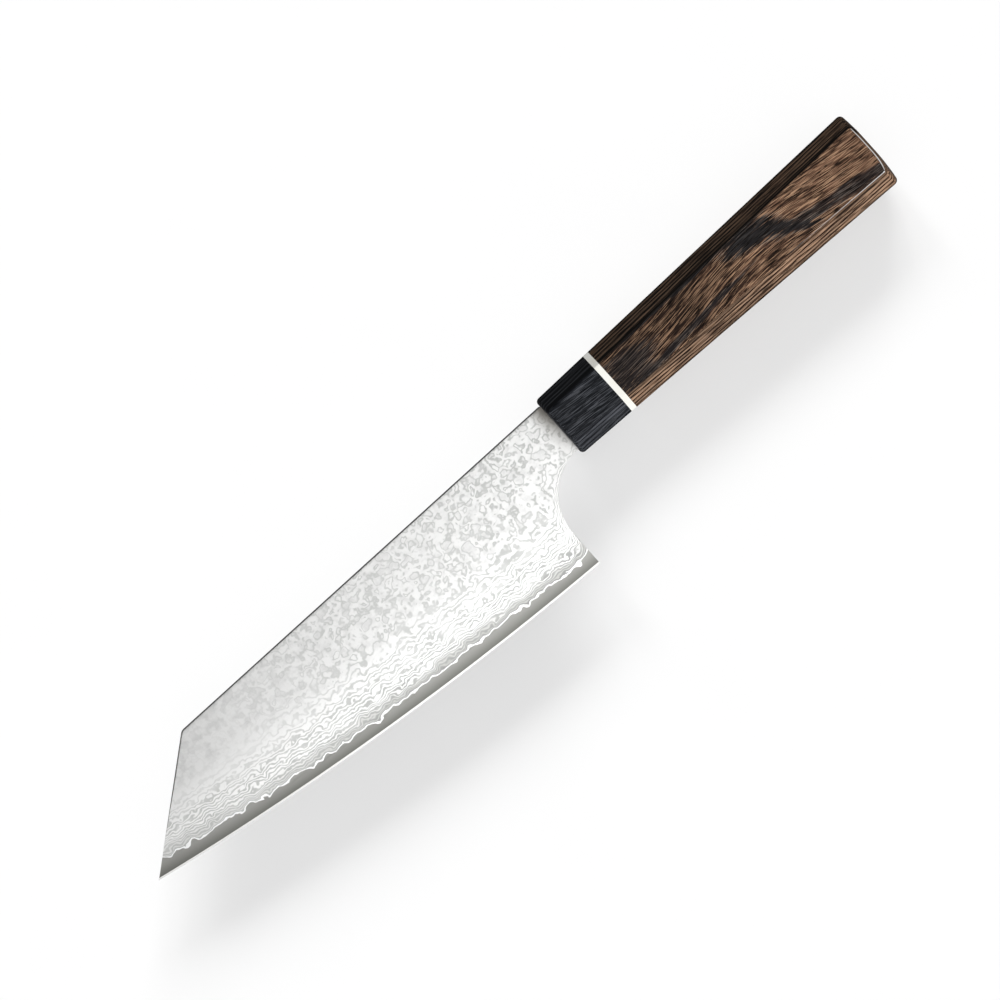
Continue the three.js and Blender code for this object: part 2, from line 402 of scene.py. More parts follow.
@dataclass
class Blade:
    """Three-layer blade with a clipped point: a hard core between two layered claddings."""

    edge_length: float = 165
    edge_belly: float = 3.25
    tip_rise: float = 18
    heel_height: float = 47.7
    neck_height: float = 17.6
    choil_radius: float = 18.2
    spine_angle: float = 0.2
    clip_angle: float = 39.4
    clip_round: float = 2.4
    thickness: float = 2
    bevel_height: float = 24
    honed_height: float = 0.6
    honed_thickness: float = 0.28
    back_ease: float = 0.5
    choil_ease: float = 0.1
    core_height: float = 4.1
    waves: tuple[Wave, ...] = (Wave(112, 0.45, 4.82), Wave(10.5, 0.4, 1.9), Wave(5.6, 0.25, 3.1))
    tang_thickness: float = 1.4
    tang_height: float = 9
    tang_end_height: float = 6
    tang_end: float = 78.3
    overcut: float = 3
    bevel_steps: int = 28
    edge_step: float = 2.5
    wave_step: float = 0.8
    ease_steps: int = 5
    choil_sides: int = 192
    crisp: float = 6

    def __post_init__(self) -> None:
        """Works out the outline's corners and the edge's circle."""
        self.half = self.thickness / 2
        self.spine_slope = math.tan(math.radians(self.spine_angle))
        self.clip_slope = math.tan(math.radians(self.clip_angle))
        self.neck_y = self.spine_y(0) - self.neck_height
        self.choil_y = self.neck_y - self.choil_radius
        self.heel = Vector((-self.choil_radius, self.spine_y(-self.choil_radius) - self.heel_height, 0))
        reach = math.sqrt(self.edge_length ** 2 - self.tip_rise ** 2)
        self.tip = self.heel + Vector((-reach, self.tip_rise, 0))
        rise = self.spine_y(0) - self.tip.y + self.clip_slope * self.tip.x
        clip_x = rise / (self.clip_slope - self.spine_slope)
        self.clip_corner = Vector((clip_x, self.spine_y(clip_x), 0))
        self.arc_radius = (self.edge_length ** 2 / 4 + self.edge_belly ** 2) / (2 * self.edge_belly)
        chord = self.heel - self.tip
        up = Vector((-chord.y, chord.x, 0)).normalized()
        self.arc_centre = (self.tip + self.heel) / 2 + up * (self.arc_radius - self.edge_belly)

    def spine_y(self, x: float) -> float:
        """Height of the spine at a place along the knife."""
        return self.neck_height / 2 + self.spine_slope * x

    def bevel_half(self, height: float) -> float:
        """Half the ground thickness: a convex bevel that fades into the flat.

        Args:
            height: height above the edge.

        Returns:
            Half the thickness there.
        """
        if height >= self.bevel_height:
            return self.half
        share = (self.bevel_height - height) / (self.bevel_height - self.honed_height)
        return self.half - (self.half - self.honed_thickness / 2) * share ** 2

    def core_half(self, x: float) -> float:
        """Half the core's thickness at a place along the knife."""
        lift = sum(wave.lift(x) for wave in self.waves) if x < 0 else 0
        return self.bevel_half(self.core_height + lift)

    def blank(self) -> Workpiece:
        """Stamps the outline from a block, with a straight lower side, and eases its upper arrises.

        Returns:
            The blank, at full thickness.
        """
        low = (self.tip.x - self.overcut, self.heel.y - self.edge_belly - self.overcut, -self.half)
        high = (0, self.spine_y(0) + self.overcut, self.half)
        piece = Workpiece.block("blank", low, high)
        piece.trim((0, self.spine_y(0), 0), (-self.spine_slope, 1, 0))
        piece.trim(self.tip, (-self.clip_slope, 1, 0))
        turn = math.radians(self.clip_angle - self.spine_angle)
        corner = self.clip_corner.xy
        piece.bevel(
            lambda ends: all((end.xy - corner).length < NEAR for end in ends),
            self.clip_round * math.tan(turn / 2), self.ease_steps)
        foot = (0, self.choil_y, -self.half - self.overcut)
        head = (0, self.choil_y, self.half + self.overcut)
        piece.combine(Workpiece.rod("choil", self.choil_radius, foot, head, self.choil_sides), Cut.TAKE)
        below = (self.heel.x, low[1] - self.overcut, foot[2])
        beside = (self.overcut, self.choil_y, head[2])
        piece.combine(Workpiece.block("heel_waste", below, beside), Cut.TAKE)
        piece.clean()
        piece.bevel(lambda ends: all(self.on_back(end) for end in ends), self.back_ease, self.ease_steps)
        piece.bevel(lambda ends: all(self.on_choil(end) for end in ends), self.choil_ease, self.ease_steps)
        return piece

    def on_back(self, place: Vector) -> bool:
        """Whether a place is on an arris of the spine or the clip.

        Args:
            place: a corner of the blank.

        Returns:
            True on one of those arrises.
        """
        clip_y = self.tip.y + self.clip_slope * (place.x - self.tip.x)
        back_y = min(self.spine_y(place.x), clip_y)
        return abs(place.z) > self.half - NEAR and place.y > back_y - self.back_ease

    def on_choil(self, place: Vector) -> bool:
        """Whether a place is on an arris of the choil's round."""
        span = math.hypot(place.x, place.y - self.choil_y)
        return abs(place.z) > self.half - NEAR and abs(span - self.choil_radius) < NEAR

    def ground_form(self) -> Workpiece:
        """Spins the bevel's section along the edge's circle.

        Returns:
            The form that the grinding leaves, open upwards past the spine.
        """
        top = self.heel_height + self.bevel_height
        span = self.bevel_height - self.honed_height
        bevel = [self.honed_height + span * step / self.bevel_steps for step in range(self.bevel_steps + 1)]
        heights = [0, *bevel, top]
        flare = self.half - self.bevel_half(bevel[-2])
        halves = [0, *(self.bevel_half(height) for height in bevel)]
        halves.append(self.half + flare * (top - bevel[-1]) / (bevel[-1] - bevel[-2]))
        start = math.asin((self.overcut - self.arc_centre.x) / self.arc_radius)
        end = math.asin((self.tip.x - self.overcut - self.arc_centre.x) / self.arc_radius)
        rows = len(heights) - 1
        bpy.ops.object.select_all(action="DESELECT")
        bpy.ops.mesh.primitive_grid_add(x_subdivisions=1, y_subdivisions=rows, size=2 * MM, location=ORIGIN)
        piece = Workpiece("ground_form")

        def section(corner: Vector) -> Vector:
            """Puts a corner of the flat grid on the bevel's section.

            Args:
                corner: where it lies in the grid.

            Returns:
                Where it goes, at the start of the sweep.
            """
            row = round((corner.y + 1) / 2 * rows)
            radius = self.arc_radius - heights[row]
            side = math.copysign(halves[row], corner.x)
            return self.arc_centre + Vector((radius * math.sin(start), -radius * math.cos(start), side))

        piece.move(section)
        steps = math.ceil(self.edge_length / self.edge_step)
        piece.shape(Pick.FACE, lambda corners: True, lambda: bpy.ops.mesh.spin(
            steps=steps, angle=start - end, center=to_row(self.arc_centre), axis=(0, 0, 1)))
        piece.clean()
        return piece

    def tang(self) -> Workpiece:
        """Draws out the tapered tang, which starts at the neck.

        Returns:
            The tang, thinner than the blade.
        """
        reach = Vector((self.tang_end, self.tang_height / 2, self.tang_thickness / 2))
        piece = Workpiece.block("tang", (0, -reach.y, -reach.z), reach)
        narrow = self.tang_end_height / self.tang_height
        piece.shape(
            Pick.FACE,
            lambda corners: all(corner.x > self.tang_end - NEAR for corner in corners),
            lambda: bpy.ops.transform.resize(
                value=(1, narrow, 1), center_override=to_row((self.tang_end, 0, 0))))
        return piece

    def layer_form(self, low: Callable[[float], float], high: Callable[[float], float]) -> Workpiece:
        """Makes a rippled slab between two surfaces that are given along the knife.

        Args:
            low: height of the lower surface at a place along the knife.
            high: height of the upper surface.

        Returns:
            The slab, larger than the blade all round.
        """
        start = self.tip.x - self.overcut
        end = self.tang_end + self.overcut
        reach = self.heel_height + self.overcut
        piece = Workpiece.block("layer", (start, -reach, -1), (end, reach, 1))
        cuts = math.ceil((end - start) / self.wave_step)
        piece.shape(
            Pick.EDGE,
            lambda ends: abs(ends[0].x - ends[1].x) > NEAR,
            lambda: bpy.ops.mesh.subdivide(number_cuts=cuts))
        piece.move(lambda c: Vector((c.x, c.y, high(c.x) if c.z > 0 else low(c.x))))
        return piece

    def build(self, steel: bpy.types.Material) -> list[bpy.types.Object]:
        """Grinds the blade and parts it into its three layers.

        Args:
            steel: the finish of all three.

        Returns:
            The layers' objects.
        """
        plate = self.blank()
        plate.combine(self.ground_form(), Cut.KEEP)
        outer = self.half + self.overcut

        def core_right(x: float) -> float:
            """Where the core's right face lies at a place along the knife."""
            return -self.core_half(x)

        layers = [
            ("core", "blade_core", "core_steel", core_right, self.core_half),
            ("left_cladding", "cladding_left", "layered_steel", self.core_half, lambda x: outer),
            ("right_cladding", "cladding_right", "layered_steel", lambda x: -outer, core_right),
        ]
        made = []
        for part, stock in (("plate", plate), ("tang", self.tang())):
            for name, node, slot, low, high in layers:
                layer = stock.copy(f"{name}_{part}")
                layer.combine(self.layer_form(low, high), Cut.KEEP)
                layer.clean()
                layer.polish(self.crisp)
                layer.dress(steel, node, slot)
                made.append(layer.thing)
            bpy.data.objects.remove(stock.thing)
        return made


@dataclass
class Handle:
    """Eight-sided handle that widens towards the butt: black ferrule, ivory spacer, brown body."""

    front_height: float = 21.4
    butt_height: float = 26.9
    front_width: float = 17.5
    butt_width: float = 21
    facet: float = 5
    ridge_round: float = 0.7
    ferrule_length: float = 19.7
    spacer_length: float = 2
    body_length: float = 105.5
    ferrule_round: float = 1.25
    butt_round: float = 1.6
    butt_crown: float = 0.5
    corner_drop: float = 1.2
    upper_drop: float = 0.3
    bore_radius: float = 6.4
    bore_end: float = 82.6
    ferrule_wall: float = 4
    slot_height: float = 9.6
    slot_width: float = 2
    overcut: float = 3
    round_steps: int = 6
    ridge_steps: int = 4
    crown_steps: int = 4
    crown_step: float = 1.5
    corner_steps: int = 11
    bore_sides: int = 64
    crisp: float = 32

    def __post_init__(self) -> None:
        """Works out where the sections meet."""
        self.body_start = self.ferrule_length + self.spacer_length
        self.end = self.body_start + self.body_length
        self.shoulder = self.end - self.butt_crown

    def section(self, name: str, start: float, end: float) -> Workpiece:
        """Cuts a length of the tapered eight-sided bar, with sharp ridges.

        Args:
            name: the piece's name.
            start: where the length starts.
            end: where it ends.

        Returns:
            The bar, with flat ends.
        """
        front = Vector((0, self.front_height / 2, self.front_width / 2))
        piece = Workpiece.block(name, -front, front + Vector((self.end, 0, 0)))
        grow = (1, self.butt_height / self.front_height, self.butt_width / self.front_width)
        piece.shape(
            Pick.FACE,
            lambda corners: all(corner.x > self.end - NEAR for corner in corners),
            lambda: bpy.ops.transform.resize(value=grow, center_override=to_row((self.end, 0, 0))))
        piece.bevel(self.runs_along, self.facet, 1)
        if start > 0:
            piece.trim((start, 0, 0), (-1, 0, 0))
        piece.trim((end, 0, 0), (1, 0, 0))
        return piece

    def runs_along(self, ends: list[Vector]) -> bool:
        """Whether an edge runs along the handle, short of the butt's crown."""
        return abs(ends[0].x - ends[1].x) > NEAR / 4 and min(end.x for end in ends) < self.shoulder - NEAR / 4

    def round_ridges(self, piece: Workpiece) -> None:
        """Rounds the eight ridges, also where they run over a rounded end."""
        eighth = math.radians(45)
        piece.bevel(self.runs_along, self.ridge_round * math.tan(eighth / 2), self.ridge_steps)

    def bore(self, start: float, end: float) -> Workpiece:
        """Makes the drill for the dowel between two places along the handle."""
        return Workpiece.rod("bore", self.bore_radius, (start, 0, 0), (end, 0, 0), self.bore_sides)

    def ferrule(self) -> Workpiece:
        """Shapes the front section, with its slotted wall and the dowel's bore behind it.

        Returns:
            The ferrule.
        """
        piece = self.section("eight_sided_ferrule", 0, self.ferrule_length)
        piece.bevel(lambda ends: all(end.x < NEAR for end in ends), self.ferrule_round, self.round_steps)
        self.round_ridges(piece)
        slot = Vector((self.ferrule_wall + self.overcut, self.slot_height / 2, self.slot_width / 2))
        piece.combine(Workpiece.block("slot", (-self.overcut, -slot.y, -slot.z), slot), Cut.TAKE)
        piece.combine(self.bore(self.ferrule_wall, self.ferrule_length + self.overcut), Cut.TAKE)
        return piece

    def spacer(self) -> Workpiece:
        """Shapes the thin ring between ferrule and body.

        Returns:
            The spacer.
        """
        piece = self.section("ivory_spacer", self.ferrule_length, self.body_start)
        self.round_ridges(piece)
        piece.combine(self.bore(self.ferrule_length - self.overcut, self.body_start + self.overcut), Cut.TAKE)
        return piece

    def body(self) -> Workpiece:
        """Shapes the rear section, with a rounded and crowned butt and a blind bore.

        Returns:
            The body.
        """
        piece = self.section("eight_sided_body", self.body_start, self.shoulder)
        piece.bevel(
            lambda ends: all(end.x > self.shoulder - NEAR for end in ends), self.butt_round, self.round_steps)
        swell = 0.0
        for ring in range(1, self.crown_steps + 1):
            rise = self.butt_crown * (1 - (1 - ring / self.crown_steps) ** 2)
            lift = (rise - swell) * MM
            face = self.shoulder + swell
            piece.shape(
                Pick.FACE,
                lambda corners: all(corner.x > face - NEAR / 4 for corner in corners),
                lambda: bpy.ops.mesh.inset(thickness=self.crown_step * MM),
                lambda: bpy.ops.transform.translate(value=(lift, 0, 0)))
            swell = rise
        self.round_ridges(piece)
        foot = self.shoulder - self.butt_round - NEAR
        piece.shape(
            Pick.EDGE,
            lambda ends: min(end.x for end in ends) > foot and abs(ends[0].y - ends[1].y) > self.overcut,
            lambda: bpy.ops.mesh.subdivide(number_cuts=self.corner_steps))
        piece.move(lambda place: self.sanded(place) if place.x > foot else place)
        piece.combine(self.bore(self.body_start - self.overcut, self.bore_end), Cut.TAKE)
        return piece

    def sanded(self, place: Vector) -> Vector:
        """Sands back the corners that the butt has on the wide sides.

        Args:
            place: a corner of the butt's mesh.

        Returns:
            Where it goes.
        """
        flat = self.butt_height / 2 - self.facet
        worn = self.corner_drop if place.y < 0 else self.upper_drop
        drop = worn * (2 * place.z / self.butt_width) ** 2 * min(1, abs(place.y) / flat) ** 3
        return place - Vector((drop, 0, 0))

    def build(self, black: bpy.types.Material, ivory: bpy.types.Material,
              brown: bpy.types.Material) -> list[bpy.types.Object]:
        """Shapes and dresses the three sections.

        Args:
            black: the ferrule's finish.
            ivory: the spacer's finish.
            brown: the body's finish.

        Returns:
            The sections' objects.
        """
        sections = [
            (self.ferrule(), black, "ferrule", "black_laminate"),
            (self.spacer(), ivory, "spacer_ring", "ivory_resin"),
            (self.body(), brown, "handle_body", "brown_laminate"),
        ]
        for piece, finish, node, slot in sections:
            piece.clean()
            piece.polish(self.crisp)
            piece.dress(finish, node, slot)
        return [piece.thing for piece, *_ in sections]


@dataclass(frozen=True)
class LayeredSteel:
    """Stainless layers forged round a plain hard core, ground on a bevel and then etched.

    The layers lie parallel to the flat, with round dents pressed into them. Grinding cuts them at a low
    angle, so they come out as faint rings on the flat, as scalloped lines on the bevel, and the last of
    them ends at the core. Etching leaves the bright layers white and draws the others as soft grey lines.
    Painted shade darkens the neck's corner by the ferrule, a band below the spine and the eased arrises of
    spine and clip. Sizes and depths are millimetres, and pairs that end in _x, _y or _h are places along
    the knife, across it, and above the edge.
    """

    bright: str = "#fbfbfa"
    cloudy: str = "#eaeae9"
    flat_line: str = "#d8d9d7"
    neck_line: str = "#c9cac8"
    bevel_line: str = "#6a6b69"
    near_core: str = "#b8b8b5"
    rim: str = "#ffffff"
    honed: str = "#c0c0be"
    core: str = "#9c9c98"
    core_low: str = "#6e6e6a"
    # Tones of painted shade: below the spine, in the neck's corner by the ferrule, and on the eased arrises.
    spine_shade: str = "#8f9090"
    neck: str = "#85817b"
    arris: str = "#626261"
    layers: int = 13
    line_start: Pair = (0.3, 0.43)
    line_full: Pair = (0.02, 0.18)
    rim_depth: float = 0.045
    rim_middle: float = 0.012
    rim_half: float = 0.02
    core_blur: float = 0.004
    close_depth: Pair = (0.28, 0.05)
    honed_blur: float = 0.04
    bevel_onset: float = 0.35
    flat_dent: float = 0.07
    flat_dents: Pair = (3.2, 3.0)
    bubble: float = 0.1
    bubble_size: float = 2.0
    bevel_dent: float = 0.07
    bevel_dents: Pair = (4.6, 3.4)
    dent_scatter: float = 0.9
    swell: float = 0.09
    swell_size: float = 4.5
    ripple: float = 0.09
    ripple_size: Pair = (2.2, 1.6)
    ripple_fade_h: Pair = (4.0, 11.0)
    stir: Pair = (2.0, 1.2)
    stir_size: float = 3.6
    long_wave: float = 20
    lobe: float = 0.15
    lobe_size: float = 3.0
    roll: float = 0.12
    roll_width: float = 2.6
    patch_size: Pair = (7, 4)
    patch_range: Pair = (0.36, 0.56)
    patch_least: float = 0.7
    plain_x: Pair = (-95, -135)
    plain_h: Pair = (13, 20)
    plain_share: float = 0.8
    neck_shade_x: Pair = (-6.5, 0)
    neck_shade_y: Pair = (-12, 6)
    spine_shade_height: float = 1.6
    spine_shade_share: float = 0.25
    cloud_size: float = 2.0
    cloud_range: Pair = (0.42, 0.68)
    heelward_x: Pair = (-145, -85)
    point_share: float = 0.5
    neckward_x: Pair = (-60, -15)
    arris_shade_way: Triple = (-0.3, 0.954, 0)
    arris_shade_range: Pair = (0.1, 0.45)
    etched_satin: Pair = (0.33, 0.38)
    core_satin: float = 0.36
    honed_satin: float = 0.25
    etch_strength: float = 0.15
    etch_depth: float = 0.01

    def height(self, g: Graph, place: Socket, blade: Blade) -> Socket:
        """Height above the edge's circle.

        Args:
            g: the material's graph.
            place: a place on the blade.
            blade: gives the circle.

        Returns:
            The height.
        """
        level = g.add("VectorMath", (place, (1, 1, 0)), operation="MULTIPLY")
        away = g.add("VectorMath", (level, blade.arc_centre), "Value", operation="DISTANCE")
        return g.add("Math", (blade.arc_radius, away), operation="SUBTRACT")

    def dents(self, g: Graph, place: Socket, size: Pair) -> Socket:
        """Depth of round dents that lie side by side.

        Args:
            g: the material's graph.
            place: a place on the blade.
            size: how wide and how high a dent is.

        Returns:
            The depth as a share, 0 in the middle of each dent.
        """
        cells = g.add("VectorMath", (place, (1 / size[0], 1 / size[1], 0)), operation="MULTIPLY")
        cells = {"Vector": cells, "Scale": 1.0, "Randomness": self.dent_scatter}
        away = g.add("TexVoronoi", cells, voronoi_dimensions="2D")
        return g.add("Math", (away, 2.0), operation="POWER")

    def build(self, blade: Blade) -> bpy.types.Material:
        """Builds the material.

        Args:
            blade: gives the bevel that cuts the layers.

        Returns:
            The finished material.
        """
        g = Graph("etched_layered_steel")
        swing = Vector((*self.stir, 0))
        stir = g.add("TexNoise", {"Vector": g.place, "Scale": 1 / self.stir_size, "Detail": 1.0}, "Color")
        stir = g.add("VectorMath", (stir, swing, -swing / 2), operation="MULTIPLY_ADD")
        stirred = g.add("VectorMath", (g.place, stir), operation="ADD")
        true_height = self.height(g, g.place, blade)
        height = self.height(g, stirred, blade)
        share = g.add("MapRange", (height, blade.bevel_height, blade.honed_height))
        fall = g.add("Math", (share, 2.0), operation="POWER")
        ground = g.add("Math", (fall, blade.half - blade.honed_thickness / 2), operation="MULTIPLY")
        on_bevel = g.add("MapRange", (share, 0.0, self.bevel_onset))

        # Forging leaves the layers uneven in four ways, each a noise about zero.
        spread = (1 / self.ripple_size[0], 1 / self.ripple_size[1], 1)
        cells = g.add("VectorMath", (stirred, spread), operation="MULTIPLY")
        uneven = {}
        for name, place, size, rise, detail in (
                ("swell", g.place, self.swell_size, self.swell, 1.0),
                ("ripple", cells, 1.0, self.ripple, 1.0),
                ("bubble", stirred, self.bubble_size, self.bubble, 1.0),
                ("lobe", g.place, self.lobe_size, self.lobe, 0.0)):
            noise = g.add("TexNoise", {"Vector": place, "Scale": 1 / size, "Detail": detail})
            uneven[name] = g.add("Math", (noise, rise, -rise / 2), operation="MULTIPLY_ADD")

        # Dents and a swell are everywhere. The core's longer ripples reach up into the layers next to it.
        swell = g.add("Math", (uneven["ripple"], on_bevel, uneven["swell"]), operation="MULTIPLY_ADD")
        flat = self.dents(g, stirred, self.flat_dents)
        flat = g.add("Math", (flat, -self.flat_dent, uneven["bubble"]), operation="MULTIPLY_ADD")
        bevel = self.dents(g, stirred, self.bevel_dents)
        bevel = g.add("Math", (bevel, -self.bevel_dent, self.bevel_dent / 5), operation="MULTIPLY_ADD")
        rumple = g.add("Mix", {"Factor": on_bevel, "A": flat, "B": bevel})
        rumple = g.add("Math", (rumple, swell), operation="ADD")
        slope = blade.bevel_half(blade.core_height + 0.5) - blade.bevel_half(blade.core_height - 0.5)
        ripple = uneven["lobe"]
        for wave in blade.waves:
            angle = g.add("Math", (g.x, 2 * math.pi / wave.length, wave.phase), operation="MULTIPLY_ADD")
            sine = g.add("Math", (angle,), operation="SINE")
            size = wave.height * slope * min(1.0, wave.length / self.long_wave)
            ripple = g.add("Math", (sine, size, ripple), operation="MULTIPLY_ADD")
        low_zone = g.add("MapRange", (height, *self.ripple_fade_h, 1.0, 0.0), **SOFT)
        rumple = g.add("Math", (ripple, low_zone, rumple), operation="MULTIPLY_ADD")
        depth = g.add("Math", (ground, rumple), operation="ADD")

        # The face rolls off a little towards the choil, which bends the lines to run along it.
        above = g.add("Math", (g.y, blade.choil_y), operation="SUBTRACT")
        above = g.add("Math", (above, 0.0), operation="MAXIMUM")
        inside = g.add("CombineXYZ", (g.x, above))
        inside = g.add("VectorMath", (inside,), "Value", operation="LENGTH")
        roll = g.add("MapRange", (inside, blade.choil_radius + self.roll_width, blade.choil_radius))
        roll = g.add("Math", (roll, 2.0), operation="POWER")
        depth = g.add("Math", (roll, self.roll, depth), operation="MULTIPLY_ADD")

        # Layer lines of even width, the core, and the bright line along its boundary.
        core_depth = blade.half - blade.bevel_half(blade.core_height)
        count = g.add("Math", (depth, self.layers / (core_depth - self.rim_depth)), operation="MULTIPLY")
        phase = g.add("Math", (count, 0.5), operation="PINGPONG")
        start = g.add("MapRange", (share, 0.0, 1.0, *self.line_start))
        full = g.add("MapRange", (share, 0.0, 1.0, *self.line_full))
        lines = g.add("MapRange", (phase, start, full), **SOFT)
        core = g.add("MapRange", (depth, core_depth - self.core_blur, core_depth + self.core_blur), **SOFT)
        beside = g.add("Math", (depth, core_depth - self.rim_middle, self.rim_half), operation="COMPARE")
        close = g.add("MapRange", (depth, *(core_depth - away for away in self.close_depth)), **SOFT)
        limits = (blade.honed_height + self.honed_blur, blade.honed_height - self.honed_blur)
        honed = g.add("MapRange", (true_height, *limits), **SOFT)

        # Lines come and go along their length, except next to the core. Towards the point the flat is
        # polished nearly plain.
        patches = (1 / self.patch_size[0], 1 / self.patch_size[1], 0)
        patches = g.add("VectorMath", (g.place, patches), operation="MULTIPLY")
        patch = g.add("TexNoise", {"Vector": patches, "Scale": 1.0, "Detail": 1.0})
        patch = g.add("MapRange", (patch, *self.patch_range, self.patch_least))
        patch = g.add("Math", (patch, close), operation="MAXIMUM")
        lines = g.add("Math", (lines, patch), operation="MULTIPLY")
        pointward = g.add("MapRange", (g.x, *self.plain_x, 0.0, self.plain_share))
        upward = g.add("MapRange", (height, *self.plain_h))
        plain = g.add("Math", (pointward, upward), operation="MULTIPLY")
        clear = g.add("Math", (1.0, plain), operation="SUBTRACT")
        lines = g.add("Math", (lines, clear), operation="MULTIPLY")

        # Painted shade darkens the neck's corner by the ferrule and spine, and a soft band below the spine.
        neck_shade = g.add("MapRange", (g.x, *self.neck_shade_x), **SOFT)
        high = g.add("MapRange", (g.y, *self.neck_shade_y))
        neck_shade = g.add("Math", (neck_shade, high), operation="MULTIPLY")
        below = g.add("Math", (g.x, -blade.spine_slope, g.y), operation="MULTIPLY_ADD")
        spine = blade.spine_y(0)
        spine_shade = g.add("MapRange", (below, spine - self.spine_shade_height, spine, 0.0, self.spine_shade_share), **SOFT)

        # The flat is faintly clouded, and the lines darken towards the core, the heel and the neck.
        cloud = g.add("TexNoise", {"Vector": g.place, "Scale": 1 / self.cloud_size, "Detail": 3.0})
        cloud = g.add("MapRange", (cloud, *self.cloud_range))
        off_bevel = g.add("Math", (1.0, on_bevel), operation="SUBTRACT")
        cloud = g.add("Math", (cloud, off_bevel), operation="MULTIPLY")
        heelward = g.add("MapRange", (g.x, *self.heelward_x, self.point_share))
        deepen = g.add("Math", (fall, heelward), operation="MULTIPLY")
        close = g.add("Math", (close, heelward), operation="MULTIPLY")
        neckward = g.add("MapRange", (g.x, *self.neckward_x))
        lower = g.add("MapRange", (true_height, blade.core_height, blade.honed_height))
        # Painted shade on the eased arrises of spine and clip, where they turn towards the spine's side.
        back = g.facing(self.arris_shade_way, *self.arris_shade_range)
        grey = g.coats(self.flat_line, (neckward, self.neck_line), (deepen, self.bevel_line))
        heart = g.coats(self.core, (lower, self.core_low))
        skin = g.coats(
            self.bright, (cloud, self.cloudy), (close, self.near_core), (lines, grey), (spine_shade, self.spine_shade),
            (neck_shade, self.neck), (back, self.arris), (beside, self.rim), (core, heart), (honed, self.honed))

        satin = g.add("MapRange", (lines, 0.0, 1.0, *self.etched_satin))
        satin = g.add("Mix", {"Factor": core, "A": satin, "B": self.core_satin})
        satin = g.add("Mix", {"Factor": honed, "A": satin, "B": self.honed_satin})
        relief = g.add("Math", (1.0, lines), operation="SUBTRACT")
        depth = self.etch_depth * MM
        bump = g.add("Bump", {"Height": relief, "Strength": self.etch_strength, "Distance": depth})
        return g.finish({"Base Color": skin, "Metallic": 1.0, "Roughness": satin, "Normal": bump})


@dataclass(frozen=True)
class Streak:
    """A dark streak on the handle's wide side, along a leaning line. Lengths are millimetres."""

    start: float
    end: float
    level: float
    slope: float
    width: float
    depth: float = 0.93
    limits: Pair = (1.8, 0.4)

    def mask(self, g: Graph, ragged: Socket) -> Socket:
        """How dark the streak is at a place: full along its line, 0 outside it.

        Args:
            g: the material's graph.
            ragged: how far fibres push its limit in or out.

        Returns:
            The share.
        """
        middle = (self.start + self.end) / 2
        half = (self.end - self.start) / 2
        along = g.add("Math", (g.x, 1 / half, -middle / half), operation="MULTIPLY_ADD")
        line = g.add("Math", (along, self.slope * half, self.level), operation="MULTIPLY_ADD")
        across = g.add("Math", (g.y, line), operation="SUBTRACT")
        across = g.add("Math", (across, 1 / self.width), operation="MULTIPLY")
        away = ragged
        for off in (along, across):
            away = g.add("Math", (off, off, away), operation="MULTIPLY_ADD")
        return g.add("MapRange", (away, *self.limits, 0.0, self.depth), **SOFT)


